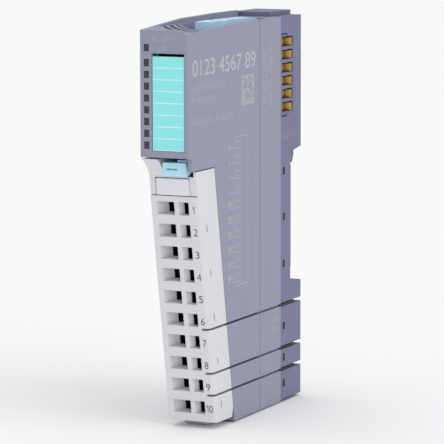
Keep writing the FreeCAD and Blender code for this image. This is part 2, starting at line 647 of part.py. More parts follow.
def ejector_tab():
    body = new_body("ejector_tab")
    outline = [("tab_front", "17.9"), ("tab_front", "20.9"), ("tab_axis_y - 2.5", "21.2"),
               ("tab_axis_y + 0.6", "21.2"), ("tab_axis_y + 3.6", "19.6"), ("tab_axis_y + 3.6", "18"),
               ("tab_axis_y + 1", "18"), ("tab_axis_y - 3.5", "17.9"), ("tab_front + 0.9", "17.2")]
    grow(body, "x", "tab_left", "tab_right", outline)
    cut(body, "y", "tab_front - 1", "tab_front + 0.7", rectangle("-0.2", "2.8", "18.95", "19.4"))
    cut(body, "z", "17", "20.3", [("tab_right - 1.9", "tab_front - 0.1"),
                                  ("tab_right + 0.1", "tab_front - 0.1"),
                                  ("tab_right + 0.1", "tab_front + 1.1")])
    key = rectangle("tab_front + 1.4", "tab_axis_y - 1.5", "20.4", "21.6")
    grow(body, "x", "2.2", "tab_right", key)
    bore(body, "x", "tab_left - 1", "tab_right + 1", "tab_axis_y", "tab_axis_z", "pin_radius + bore_gap")
    node(rod("ejector_pin", "tab_left - 0.8", "tab_right + 0.7", "tab_axis_y", "tab_axis_z", "pin_radius"),
         "ejector_pin")


# ---- front connector -----------------------------------------------------------------------------

def connector_profile(near, far):
    """Side outline between two depths, level at its foot and its top."""
    foot_near = f"((plug_foot) - grip_z - ({near}) * sin(tilt)) / cos(tilt)"
    foot_far = f"((plug_foot) - grip_z - ({far}) * sin(tilt)) / cos(tilt)"
    top_near = f"((plug_top) - grip_z - ({near}) * sin(tilt)) / cos(tilt)"
    top_far = f"((plug_top) - grip_z - ({far}) * sin(tilt)) / cos(tilt)"
    return [(near, foot_near), (far, foot_far), (far, top_far), (near, top_near)]


def connector_shell():
    body = new_body("connector_shell")
    grow(body, "x", "-width / 2", "width / 2", connector_profile("0", "plug_joint"))
    round_corner(body)
    cut(body, "y", "-1", "step", rectangle("-width / 2 - 1", "width / 2 + 1", "0.4", "20"))
    cut(body, "y", "-1", "step + 0.65", rectangle("-width / 2 - 1", "width / 2 - 0.4", "0.4", "0.62"))
    ear = [("step", "4"), ("plug_joint", "4"), in_tilt("-53.3", "21.8"), in_tilt("front + 1.9", "21.8"),
           in_tilt("front + 0.7", "21.8"), in_tilt("front + 2.2", "20.9"), in_tilt("front + 3.4", "19.8"),
           in_tilt("front + 4.6", "18.5"), ("step", "6")]
    grow(body, "x", "-width / 2", "ear_right", ear)
    ramp = [("-1", "5.75"), ("0.9", "5.75"), ("1.3", "5"), ("2.2", "4"), ("3.6", "3.4"),
            ("plug_joint + 1", "3.4"),
            ("plug_joint + 1", "14"), ("-1", "14")]
    cut(body, "x", "ear_right", "cheek", ramp)
    cut(body, "y", "-1", "1", rectangle("-5.35", "4.55", "0.45", "5.45"))
    row_holes(body)
    cut(body, "x", "slot_left", "slot_right",
        rectangle("6.8", "plug_joint + 1", "row_first - rows * row_pitch + 1.6", "row_first + 0.8"))
    for groove in grooves:
        groove_in_connector(body, groove, "-1", "plug_joint + 1")
    test_slots(body)
    foot = [("2", "-62.6"), ("6.5", "-63.4"), ("6.5", "-65.2"), ("4.4", "-65.2")]
    grow(body, "x", "-4.2", "2.2", foot)
    tilt_with_connector(body)


def round_corner(body):
    """Rounds the upright edge at the front right with a run of short flats."""
    arc = [("width / 2 + 0.1", "cheek_round"), ("width / 2 + 0.1", "-0.1"),
           ("width / 2 - cheek_round", "-0.1")]
    for angle in (15, 30, 45, 60, 75, 90):
        across = f"width / 2 - cheek_round + cheek_round * sin({angle})"
        arc.append((across, f"cheek_round - cheek_round * cos({angle})"))
    cut(body, "z", "-80", "20", arc)


def row_holes(body):
    """Wire entries at the left, screwdriver entries at the right, each with a sloping left wall."""
    for kind in ("wire", "tool"):
        low = "row_first - hole_tall"
        made = sketch(body, "z", low)
        draw_outline(made, [(f"{kind}_left", "-1"), (f"{kind}_right", "-1"),
                            (f"{kind}_right", f"{kind}_deep"),
                            (f"{kind}_inner", f"{kind}_deep"), (f"{kind}_inner", f"{kind}_lip"),
                            (f"{kind}_left", "0")])
        pocket = finish_cut(body, made, "z", low, "row_first")
        pattern = body.newObject("PartDesign::LinearPattern", "rows")
        pattern.Originals = [pocket]
        pattern.Direction = (made, ["N_Axis"])
        pattern.Reversed = True
        pattern.setExpression("Length", bound("(rows - 1) * row_pitch"))
        pattern.setExpression("Occurrences", bound("rows"))
        body.Tip = pattern
        doc.recompute()
        body.Tip = pattern


def groove_in_connector(body, groove, near, far):
    low = f"{groove} - groove_thin / 2"
    high = f"{groove} + groove_thin / 2"
    points = []
    for depth, z in ((near, low), (far, low), (far, high), (near, high)):
        points.append((depth, f"(({z}) - grip_z - ({depth}) * sin(tilt)) / cos(tilt)"))
    cut(body, "x", "width / 2 - groove_deep", "width / 2 + 1", points)


def test_slots(body):
    for step in range(1, 10, 2):
        top = f"row_first - 0.8 - {step} * row_pitch"
        cut(body, "x", "width / 2 - 1", "width / 2 + 1", rectangle("3.4", "3.9", f"{top} - 2", top))


def connector_back():
    body = new_body("connector_back")
    foot_z = "((plug_foot) - grip_z - plug_joint * sin(tilt)) / cos(tilt)"
    outline = connector_profile("plug_joint", "plug_depth")
    outline[1:2] = [("plug_depth - 1.35", f"{foot_z} - 0.2"), ("plug_depth", "hinge_z + 0.6")]
    grow(body, "x", "-width / 2", "width / 2", outline)
    cut(body, "x", "ear_right", "cheek", rectangle("plug_joint - 1", "plug_depth + 1", "3.4", "14"))
    cut(body, "x", "slot_left", "slot_right",
        rectangle("plug_joint - 1", "plug_depth + 1", "row_first - rows * row_pitch + 1.6",
                  "row_first + 0.8"))
    claw = claw_outline()
    grow(body, "x", "-claw_width / 2", "claw_width / 2", claw)
    bore(body, "x", "-claw_width / 2 - 1", "claw_width / 2 + 1", "hinge_y", "hinge_z", "axle + bore_gap")
    for groove in grooves:
        groove_in_connector(body, groove, "plug_joint - 1", "plug_depth + 1")
    tilt_with_connector(body)


def claw_outline():
    """Half ring that hooks under the hinge bar, as short straight runs."""
    points = [("plug_joint + 0.4", "hinge_z"), ("plug_joint + 0.4", "hinge_z - 0.8")]
    for angle in (215, 230, 245, 260, 275, 290, 305, 320, 335, 350):
        points.append((f"hinge_y + claw * cos({angle})", f"hinge_z + claw * sin({angle})"))
    points.append(("hinge_y + claw * 0.4", "hinge_z - 0.3"))
    points.append(("hinge_y", "hinge_z - 0.3"))
    points.append(("hinge_y - claw * 0.5", "hinge_z"))
    return points


def connector_metal():
    springs = []
    bars = []
    for step in range(10):
        low = f"row_first - hole_tall - {step} * row_pitch + 0.1"
        spring = doc.addObject("PartDesign::Body", f"clamp_spring_{step + 1}")
        leaf = [("3.3", "3.3"), ("3.7", "3.3"), ("3.7", "6.1"), ("tool_inner + 0.1", "6.1"),
                ("tool_inner + 0.1", "5.7"), ("3.3", "5.7")]
        grow(spring, "z", low, f"{low} + 2.3", leaf)
        tilt_with_connector(spring)
        springs.append(spring)
        bar = doc.addObject("PartDesign::Body", f"current_bar_{step + 1}")
        fork = [("1.7", "9.8"), ("1.7", "6.9"), ("3.5", "6.9"), ("3.5", "9.8"), ("3.2", "9.8"),
                ("3.2", "7.2"),
                ("2", "7.2"), ("2", "9.8")]
        grow(bar, "z", low, f"{low} + 3", fork)
        tilt_with_connector(bar)
        bars.append(bar)
    group("clamp_springs", springs)
    group("current_bars", bars)


def tag_plate():
    body = new_body("tag_plate")
    outline = [("-5.1", "0.65"), ("4.5", "0.65"), ("4.5", "4.85"), ("4.15", "5.2"), ("-4.75", "5.2"),
               ("-5.1", "4.85")]
    grow(body, "y", "0.05", "1", outline)
    tilt_with_connector(body)


def round_upright(body, x, y, radius):
    """Rounds the upright edges that stand at this place."""
    before = body.Tip
    names = []
    for index, edge in enumerate(before.Shape.Edges, start=1):
        ends = [vertex.Point for vertex in edge.Vertexes]
        apart = max(abs(end.x - number(x)) + abs(end.y - number(y)) for end in ends)
        if apart < 0.01 and edge.Length > 1:
            names.append(f"Edge{index}")
    rounding = body.newObject("PartDesign::Fillet", "rounding")
    rounding.Base = (before, names)
    rounding.setExpression("Radius", bound(radius))
    doc.recompute()


def check_and_write():
    doc.recompute()
    for thing in doc.Objects:
        if "Invalid" in thing.State or "Error" in thing.State:
            raise ValueError(f"{thing.Label}: {thing.State}")
    os.makedirs("parts", exist_ok=True)
    for thing in nodes:
        shape = thing.Shape
        if shape.isNull() or not shape.isValid() or shape.Volume <= 0:
            raise ValueError(f"{thing.Label}: bad shape")
        shape.exportStep(f"parts/{thing.Label}.step")
        print(thing.Label, len(shape.Solids), round(shape.Volume, 1))


for build in (base_shell, base_lid, bus_carrier, bus_contacts, bus_pads, power_springs, base_inner,
              rail_slide,
              slide_spring, turn_fastener, electronics_shell, side_cover, indicators, circuit_board,
              module_plug,
              contact_header, header_blades, board_parts, label_card, release_lever, ejector_tab,
              connector_shell,
              connector_back, connector_metal, tag_plate):
    build()
check_and_write()
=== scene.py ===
import json
import math
import random
import bpy
import bmesh
from mathutils import Matrix, Vector


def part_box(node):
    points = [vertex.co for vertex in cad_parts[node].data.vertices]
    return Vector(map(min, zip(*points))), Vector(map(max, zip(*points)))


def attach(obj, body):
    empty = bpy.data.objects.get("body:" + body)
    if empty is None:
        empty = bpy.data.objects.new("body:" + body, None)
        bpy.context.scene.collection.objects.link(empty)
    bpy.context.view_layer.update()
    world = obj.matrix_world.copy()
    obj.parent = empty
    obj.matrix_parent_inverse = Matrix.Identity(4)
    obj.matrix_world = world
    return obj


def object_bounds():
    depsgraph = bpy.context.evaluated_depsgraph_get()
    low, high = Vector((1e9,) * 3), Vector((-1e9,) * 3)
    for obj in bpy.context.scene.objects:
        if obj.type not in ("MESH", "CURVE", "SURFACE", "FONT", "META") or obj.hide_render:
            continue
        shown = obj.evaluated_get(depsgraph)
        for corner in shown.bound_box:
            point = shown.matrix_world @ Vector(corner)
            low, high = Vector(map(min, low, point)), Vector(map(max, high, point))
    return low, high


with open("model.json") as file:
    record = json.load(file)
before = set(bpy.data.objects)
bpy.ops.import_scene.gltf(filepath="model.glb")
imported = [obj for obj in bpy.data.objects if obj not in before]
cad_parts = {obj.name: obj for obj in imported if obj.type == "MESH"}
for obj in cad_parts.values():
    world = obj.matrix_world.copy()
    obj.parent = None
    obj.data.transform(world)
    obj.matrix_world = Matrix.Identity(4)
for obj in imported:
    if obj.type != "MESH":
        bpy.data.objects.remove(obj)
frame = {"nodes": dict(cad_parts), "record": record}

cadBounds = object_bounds()
mm = 0.001
nodes = frame["nodes"]
record = frame["record"]
print("frame loaded:", len(nodes), "nodes")


def boxOf(node):
    low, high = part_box(node)
    return Vector(low), Vector(high)


def newMaterial(name):
    made = bpy.data.materials.new(name)
    made.use_nodes = True
    tree = made.node_tree
    return made, tree, tree.nodes["Principled BSDF"]


def addNode(tree, kind, **settings):
    made = tree.nodes.new(kind)
    for key, value in settings.items():
        setattr(made, key, value)
    return made


def link(tree, source, target):
    tree.links.new(source, target)


def mixColour(tree, factor, first, second, blend="MIX"):
    # first and second are colours or sockets
    mix = addNode(tree, "ShaderNodeMix", data_type="RGBA", blend_type=blend)
    if isinstance(factor, (int, float)):
        mix.inputs[0].default_value = factor
    else:
        link(tree, factor, mix.inputs[0])
    for index, value in ((6, first), (7, second)):
        if isinstance(value, tuple):
            mix.inputs[index].default_value = (*value, 1)
        else:
            link(tree, value, mix.inputs[index])
    return mix.outputs[2]


def maths(tree, operation, first, second=None):
    made = addNode(tree, "ShaderNodeMath", operation=operation)
    for index, value in enumerate((first, second)):
        if value is None:
            continue
        if isinstance(value, (int, float)):
            made.inputs[index].default_value = value
        else:
            link(tree, value, made.inputs[index])
    return made.outputs[0]


def groupTree(name, inputs, outputs):
    tree = bpy.data.node_groups.new(name, "ShaderNodeTree")
    for socketName, kind, value in inputs:
        socket = tree.interface.new_socket(name=socketName, in_out="INPUT", socket_type=kind)
        socket.default_value = value
    for socketName, kind in outputs:
        tree.interface.new_socket(name=socketName, in_out="OUTPUT", socket_type=kind)
    return tree, tree.nodes.new("NodeGroupInput"), tree.nodes.new("NodeGroupOutput")


# cellSize and cellHeight are relative to the fine noise
grainLook = {"cellSize": 0.6, "cellHeight": 0.5, "roughShift": 0.12}
# gain of the painted edge highlight mask
edgeMaskGain = 5.0


def mouldGrain():
    # fine spark-eroded grain of moulded plastic, with slow tone changes
    tree, given, out = groupTree(
        "mouldGrain",
        [("Grain Size", "NodeSocketFloat", 9000.0), ("Tone Size", "NodeSocketFloat", 60.0),
         ("Base", "NodeSocketColor", (0.5, 0.5, 0.5, 1)), ("Tone Shift", "NodeSocketFloat", 0.05)],
        [("Color", "NodeSocketColor"), ("Height", "NodeSocketFloat"), ("Roughness Shift", "NodeSocketFloat")])
    place = addNode(tree, "ShaderNodeTexCoord")
    grain = addNode(tree, "ShaderNodeTexNoise")
    grain.inputs["Detail"].default_value = 3
    link(tree, place.outputs["Object"], grain.inputs["Vector"])
    link(tree, given.outputs["Grain Size"], grain.inputs["Scale"])
    cells = addNode(tree, "ShaderNodeTexVoronoi")
    link(tree, place.outputs["Object"], cells.inputs["Vector"])
    cellScale = maths(tree, "MULTIPLY", given.outputs["Grain Size"], grainLook["cellSize"])
    link(tree, cellScale, cells.inputs["Scale"])
    cellHeight = maths(tree, "MULTIPLY", cells.outputs["Distance"], grainLook["cellHeight"])
    height = maths(tree, "ADD", grain.outputs["Fac"], cellHeight)
    tone = addNode(tree, "ShaderNodeTexNoise")
    tone.inputs["Detail"].default_value = 2
    link(tree, place.outputs["Object"], tone.inputs["Vector"])
    link(tree, given.outputs["Tone Size"], tone.inputs["Scale"])
    fromMiddle = maths(tree, "SUBTRACT", tone.outputs["Fac"], 0.5)
    shade = maths(tree, "ADD", 1.0, maths(tree, "MULTIPLY", fromMiddle, given.outputs["Tone Shift"]))
    colour = addNode(tree, "ShaderNodeVectorMath", operation="SCALE")
    link(tree, given.outputs["Base"], colour.inputs[0])
    link(tree, shade, colour.inputs["Scale"])
    link(tree, colour.outputs[0], out.inputs["Color"])
    link(tree, height, out.inputs["Height"])
    rough = maths(tree, "SUBTRACT", grain.outputs["Fac"], 0.5)
    rough = maths(tree, "MULTIPLY", rough, grainLook["roughShift"])
    link(tree, rough, out.inputs["Roughness Shift"])
    return tree


def edgeHighlight():
    # painted highlight: lighter, slightly rounded edges found by comparing bevelled and true normals
    tree, given, out = groupTree(
        "edgeHighlight", [("Radius", "NodeSocketFloat", 0.0003), ("Amount", "NodeSocketFloat", 0.5)],
        [("Mask", "NodeSocketFloat"), ("Normal", "NodeSocketVector")])
    bevel = addNode(tree, "ShaderNodeBevel", samples=6)
    link(tree, given.outputs["Radius"], bevel.inputs["Radius"])
    flat = addNode(tree, "ShaderNodeNewGeometry")
    dot = addNode(tree, "ShaderNodeVectorMath", operation="DOT_PRODUCT")
    link(tree, bevel.outputs["Normal"], dot.inputs[0])
    link(tree, flat.outputs["Normal"], dot.inputs[1])
    bent = maths(tree, "SUBTRACT", 1.0, dot.outputs["Value"])
    mask = maths(tree, "MINIMUM", maths(tree, "MULTIPLY", bent, edgeMaskGain), 1.0)
    mask = maths(tree, "MULTIPLY", mask, given.outputs["Amount"])
    link(tree, mask, out.inputs["Mask"])
    link(tree, bevel.outputs["Normal"], out.inputs["Normal"])
    return tree


def hollowShade():
    # painted shade: darkening in corners and slots where ambient occlusion finds nearby surfaces
    tree, given, out = groupTree(
        "hollowShade", [("Distance", "NodeSocketFloat", 0.002), ("Amount", "NodeSocketFloat", 0.5)],
        [("Mask", "NodeSocketFloat")])
    shade = addNode(tree, "ShaderNodeAmbientOcclusion", samples=6)
    link(tree, given.outputs["Distance"], shade.inputs["Distance"])
    dark = maths(tree, "SUBTRACT", 1.0, shade.outputs["AO"])
    link(tree, maths(tree, "MULTIPLY", dark, given.outputs["Amount"]), out.inputs["Mask"])
    return tree


grainGroup = mouldGrain()
edgeHighlightGroup = edgeHighlight()
hollowShadeGroup = hollowShade()
print("shader groups ready")


def placeGroup(tree, group, **values):
    made = addNode(tree, "ShaderNodeGroup", node_tree=group)
    for key, value in values.items():
        made.inputs[key].default_value = value
    return made


# in each plastic, edge is the strength of the painted edge highlight and the last value the strength of the
# painted shade in corners and slots
plastics = {
    "housing_plastic": {"colour": (0.295, 0.304, 0.408),
                        "rough": 0.50, "edge": 0.35, "grain": 0.10, "cornerShade": 0.15},
    "base_plastic": {"colour": (0.170, 0.174, 0.292),
                     "rough": 0.52, "edge": 0.30, "grain": 0.10, "cornerShade": 0.45},
    "white_plastic": {"colour": (0.735, 0.728, 0.770),
                      "rough": 0.46, "edge": 0.45, "grain": 0.06, "cornerShade": 0.40},
    "blue_plastic": {"colour": (0.480, 0.790, 0.960),
                     "rough": 0.36, "edge": 0.40, "grain": 0.04, "cornerShade": 0.10},
    "dark_plastic": {"colour": (0.020, 0.020, 0.024),
                     "rough": 0.50, "edge": 0.15, "grain": 0.08, "cornerShade": 0.00},
    "chip_black": {"colour": (0.015, 0.015, 0.016),
                   "rough": 0.42, "edge": 0.20, "grain": 0.10, "cornerShade": 0.00},
    "chip_white": {"colour": (0.800, 0.800, 0.740),
                   "rough": 0.40, "edge": 0.10, "grain": 0.04, "cornerShade": 0.10},
    "ferrite": {"colour": (0.045, 0.044, 0.048),
                "rough": 0.62, "edge": 0.30, "grain": 0.20, "cornerShade": 0.00},
}

# nodes that need their own version of a plastic
ownPlastics = {
    "tag_plate": {"like": "white_plastic", "colour": (0.800, 0.785, 0.850), "cornerShade": 0.20},
    # painted shade: strong corner shade darkens the carrier deep behind the contacts
    "bus_carrier": {"like": "base_plastic", "cornerShade": 1.60},
    "connector_shell": {"like": "white_plastic", "holeShade": True},
    # painted light: a lighter copy of the blue plastic with little painted corner shade, brightening the
    # lever where it sits in the shade of the tray
    "release_lever": {"like": "blue_plastic", "colour": (0.560, 0.830, 0.995), "cornerShade": 0.02},
}
# the reach and darkening values set the painted corner shade, the edge values the painted edge highlight
mouldLook = {"grainSize": 9000.0, "toneSize": 45.0, "edgeRadius": 0.00022, "edgeGain": 1.25, "edgeLift": 0.05,
             "shadeReach": 0.0016, "shadeDarkening": 0.35, "grainDepth": 0.00004, "specular": 0.42}
# painted shade in mm: left, right and the depth from which each column of holes is painted almost black
holeShadeLook = {"wire": (-3.4, -0.2, 2.9), "tool": (1.8, 4.0, 1.5), "fade": 0.3,
            "holeShadeColour": (0.006, 0.006, 0.007)}
connectorFrame = {"y": -59.9, "z": 11.2, "tilt": 10.0, "rowFirst": -1.15, "pitch": 6.17, "rows": 10,
                  "footMargin": 1.5, "topMargin": 0.05}


def between(tree, value, low, high):
    above = maths(tree, "GREATER_THAN", value, low * mm)
    return maths(tree, "MULTIPLY", above, maths(tree, "LESS_THAN", value, high * mm))


def holeShadeMask(tree):
    # painted shade: deep in the wire and screwdriver holes the colour is painted almost black
    place = addNode(tree, "ShaderNodeTexCoord")
    tilt = math.radians(connectorFrame["tilt"])
    moved = addNode(tree, "ShaderNodeVectorMath", operation="SUBTRACT")
    link(tree, place.outputs["Object"], moved.inputs[0])
    moved.inputs[1].default_value = (0, connectorFrame["y"] * mm, connectorFrame["z"] * mm)
    found = {}
    ways = {"depth": (0, math.cos(tilt), math.sin(tilt)), "up": (0, -math.sin(tilt), math.cos(tilt)),
            "across": (1, 0, 0)}
    for key, way in ways.items():
        dot = addNode(tree, "ShaderNodeVectorMath", operation="DOT_PRODUCT")
        link(tree, moved.outputs[0], dot.inputs[0])
        dot.inputs[1].default_value = way
        found[key] = dot.outputs["Value"]
    first, pitch = connectorFrame["rowFirst"], connectorFrame["pitch"]
    lowest = first - connectorFrame["rows"] * pitch + connectorFrame["footMargin"]
    inRows = between(tree, found["up"], lowest, first + connectorFrame["topMargin"])
    masks = []
    for key in ("wire", "tool"):
        left, right, deep = holeShadeLook[key]
        ramp = maths(tree, "SUBTRACT", found["depth"], deep * mm)
        ramp = maths(tree, "DIVIDE", ramp, holeShadeLook["fade"] * mm)
        ramp = maths(tree, "MINIMUM", maths(tree, "MAXIMUM", ramp, 0.0), 1.0)
        masks.append(maths(tree, "MULTIPLY", ramp, between(tree, found["across"], left, right)))
    return maths(tree, "MULTIPLY", maths(tree, "MAXIMUM", masks[0], masks[1]), inRows)


def plasticMaterial(name, look):
    made, tree, shader = newMaterial(name)
    grain = placeGroup(tree, grainGroup, **{
        "Base": (*look["colour"], 1), "Grain Size": mouldLook["grainSize"],
        "Tone Size": mouldLook["toneSize"]})
    roundedEdge = placeGroup(tree, edgeHighlightGroup, Radius=mouldLook["edgeRadius"], Amount=look["edge"])
    cornerShade = placeGroup(tree, hollowShadeGroup, Distance=mouldLook["shadeReach"], Amount=look["cornerShade"])
    pale = tuple(min(1.0, part * mouldLook["edgeGain"] + mouldLook["edgeLift"]) for part in look["colour"])
    dark = tuple(part * mouldLook["shadeDarkening"] for part in look["colour"])
    # painted highlight: edges mixed towards a paler colour
    colour = mixColour(tree, roundedEdge.outputs["Mask"], grain.outputs["Color"], pale)
    # painted shade: the colour is darkened in corners and slots
    colour = mixColour(tree, maths(tree, "MINIMUM", cornerShade.outputs["Mask"], 1.0), colour, dark)
    if look.get("holeShade"):
        # painted shade deep inside the holes
        colour = mixColour(tree, holeShadeMask(tree), colour, holeShadeLook["holeShadeColour"])
    link(tree, colour, shader.inputs["Base Color"])
    rough = maths(tree, "ADD", grain.outputs["Roughness Shift"], look["rough"])
    link(tree, rough, shader.inputs["Roughness"])
    bump = addNode(tree, "ShaderNodeBump")
    bump.inputs["Strength"].default_value = look["grain"]
    bump.inputs["Distance"].default_value = mouldLook["grainDepth"]
    link(tree, grain.outputs["Height"], bump.inputs["Height"])
    link(tree, roundedEdge.outputs["Normal"], bump.inputs["Normal"])
    link(tree, bump.outputs["Normal"], shader.inputs["Normal"])
    shader.inputs["Specular IOR Level"].default_value = mouldLook["specular"]
    return made


metals = {
    "gold": {"colour": (0.62, 0.38, 0.09), "rough": 0.24, "streak": 2200.0},
    "brass": {"colour": (0.72, 0.58, 0.30), "rough": 0.32, "streak": 1800.0},
    "copper": {"colour": (0.70, 0.30, 0.12), "rough": 0.30, "streak": 3000.0},
    "spring_steel": {"colour": (0.62, 0.62, 0.64), "rough": 0.26, "streak": 2600.0},
    "can_aluminium": {"colour": (0.72, 0.72, 0.74), "rough": 0.34, "streak": 1500.0},
}


# edge values set the painted edge highlight; the reach, amount and darkening values set the painted corner
# shade
metalLook = {"stretch": 0.06, "detail": 4, "darker": 0.72, "edgeRadius": 0.00014, "edgeAmount": 0.9,
             "edgeGain": 0.7, "edgeLift": 0.5, "shadeReach": 0.0016, "shadeAmount": 1.1, "shadeDarkening": 0.12,
             "roughSpread": 0.22, "roughDrop": 0.1, "bump": 0.12, "bumpDepth": 0.00002}


def metalMaterial(name, look):
    made, tree, shader = newMaterial(name)
    place = addNode(tree, "ShaderNodeTexCoord")
    stretch = addNode(tree, "ShaderNodeMapping")
    stretch.inputs["Scale"].default_value = (1, 1, metalLook["stretch"])
    link(tree, place.outputs["Object"], stretch.inputs["Vector"])
    streaks = addNode(tree, "ShaderNodeTexNoise")
    streaks.inputs["Scale"].default_value = look["streak"]
    streaks.inputs["Detail"].default_value = metalLook["detail"]
    link(tree, stretch.outputs["Vector"], streaks.inputs["Vector"])
    darker = tuple(part * metalLook["darker"] for part in look["colour"])
    colour = mixColour(tree, streaks.outputs["Fac"], darker, look["colour"])
    roundedEdge = placeGroup(tree, edgeHighlightGroup, Radius=metalLook["edgeRadius"], Amount=metalLook["edgeAmount"])
    pale = tuple(min(1.0, part * metalLook["edgeGain"] + metalLook["edgeLift"]) for part in look["colour"])
    # painted highlight: edges mixed towards a pale colour
    colour = mixColour(tree, roundedEdge.outputs["Mask"], colour, pale)
    cornerShade = placeGroup(tree, hollowShadeGroup, Distance=metalLook["shadeReach"], Amount=metalLook["shadeAmount"])
    dark = tuple(part * metalLook["shadeDarkening"] for part in look["colour"])
    # painted shade: colour darkened in corners and hollows
    colour = mixColour(tree, maths(tree, "MINIMUM", cornerShade.outputs["Mask"], 1.0), colour, dark)
    link(tree, colour, shader.inputs["Base Color"])
    rough = maths(tree, "MULTIPLY", streaks.outputs["Fac"], metalLook["roughSpread"])
    rough = maths(tree, "ADD", rough, look["rough"] - metalLook["roughDrop"])
    link(tree, rough, shader.inputs["Roughness"])
    shader.inputs["Metallic"].default_value = 1
    bump = addNode(tree, "ShaderNodeBump")
    bump.inputs["Strength"].default_value = metalLook["bump"]
    bump.inputs["Distance"].default_value = metalLook["bumpDepth"]
    link(tree, streaks.outputs["Fac"], bump.inputs["Height"])
    link(tree, roundedEdge.outputs["Normal"], bump.inputs["Normal"])
    link(tree, bump.outputs["Normal"], shader.inputs["Normal"])
    return made


cardLook = {"band": (0.290, 0.880, 0.870), "edge": (0.33, 0.85, 0.86), "line": (0.66, 0.94, 0.97), "rows": 8,
            "lineShare": 0.10, "inset": 0.16, "edgeMix": 0.55, "edgeLineFade": 0.35,
            "fibreColour": (0.20, 0.66, 0.68), "fibreMix": 0.12, "fibreSize": 5000, "fibreDetail": 5,
            "rough": 0.45, "roughSpread": 0.2, "bump": 0.1, "bumpDepth": 0.00003}


def cardMaterial():
    # turquoise card with pale lines between its rows
    made, tree, shader = newMaterial("label")
    low, high = boxOf("label_card")
    place = addNode(tree, "ShaderNodeTexCoord")
    parts = addNode(tree, "ShaderNodeSeparateXYZ")
    link(tree, place.outputs["Object"], parts.inputs[0])
    rowTall = (high.z - low.z) / cardLook["rows"]
    rise = maths(tree, "DIVIDE", maths(tree, "SUBTRACT", parts.outputs["Z"], low.z), rowTall)
    phase = maths(tree, "FRACT", rise)
    lineMask = maths(tree, "LESS_THAN", phase, cardLook["lineShare"])
    across = maths(tree, "SUBTRACT", parts.outputs["X"], low.x)
    across = maths(tree, "DIVIDE", across, high.x - low.x)
    fromMiddle = maths(tree, "ABSOLUTE", maths(tree, "SUBTRACT", across, 0.5))
    sideMask = maths(tree, "GREATER_THAN", fromMiddle, 0.5 - cardLook["inset"])
    fibre = addNode(tree, "ShaderNodeTexNoise")
    fibre.inputs["Scale"].default_value = cardLook["fibreSize"]
    fibre.inputs["Detail"].default_value = cardLook["fibreDetail"]
    link(tree, place.outputs["Object"], fibre.inputs["Vector"])
    edgeMix = maths(tree, "MULTIPLY", sideMask, cardLook["edgeMix"])
    colour = mixColour(tree, edgeMix, cardLook["band"], cardLook["edge"])
    inner = maths(tree, "SUBTRACT", 1.0, maths(tree, "MULTIPLY", sideMask, cardLook["edgeLineFade"]))
    colour = mixColour(tree, maths(tree, "MULTIPLY", lineMask, inner), colour, cardLook["line"])
    fibreMix = maths(tree, "MULTIPLY", fibre.outputs["Fac"], cardLook["fibreMix"])
    colour = mixColour(tree, fibreMix, colour, cardLook["fibreColour"])
    link(tree, colour, shader.inputs["Base Color"])
    rough = maths(tree, "MULTIPLY", fibre.outputs["Fac"], cardLook["roughSpread"])
    link(tree, maths(tree, "ADD", rough, cardLook["rough"]), shader.inputs["Roughness"])
    bump = addNode(tree, "ShaderNodeBump")
    bump.inputs["Strength"].default_value = cardLook["bump"]
    bump.inputs["Distance"].default_value = cardLook["bumpDepth"]
    link(tree, fibre.outputs["Fac"], bump.inputs["Height"])
    link(tree, bump.outputs["Normal"], shader.inputs["Normal"])
    return made


# rim values set the painted shade at the window's rim
windowLook = {"colour": (0.030, 0.032, 0.042), "grainSize": 4000.0, "toneSize": 700.0, "toneShift": 0.8,
              "rimColour": (0.01, 0.01, 0.012), "rimReach": 0.0008, "rimAmount": 0.6, "rough": 0.22,
              "edgeRadius": 0.0001, "edgeAmount": 0.3}


def windowMaterial():
    # smoked indicator window with a faint painted shade at its rim, darker where ambient occlusion finds
    # nearby surfaces
    made, tree, shader = newMaterial("window")
    grain = placeGroup(tree, grainGroup, **{
        "Base": (*windowLook["colour"], 1), "Grain Size": windowLook["grainSize"],
        "Tone Shift": windowLook["toneShift"], "Tone Size": windowLook["toneSize"]})
    cornerShade = placeGroup(tree, hollowShadeGroup, Distance=windowLook["rimReach"], Amount=windowLook["rimAmount"])
    # painted shade: the rim is darkened where the window meets nearby surfaces
    colour = mixColour(tree, cornerShade.outputs["Mask"], grain.outputs["Color"], windowLook["rimColour"])
    link(tree, colour, shader.inputs["Base Color"])
    rough = maths(tree, "ADD", grain.outputs["Roughness Shift"], windowLook["rough"])
    link(tree, rough, shader.inputs["Roughness"])
    roundedEdge = placeGroup(tree, edgeHighlightGroup, Radius=windowLook["edgeRadius"], Amount=windowLook["edgeAmount"])
    link(tree, roundedEdge.outputs["Normal"], shader.inputs["Normal"])
    return made


boardLook = {"trackScale": 300, "resist": (0.015, 0.16, 0.06), "pale": (0.02, 0.20, 0.08),
             "track": (0.05, 0.32, 0.14), "trackWidth": 0.03, "turn": 90, "rough": 0.25, "roughSpread": 0.1,
             "bump": 0.2, "bumpDepth": 0.00005}


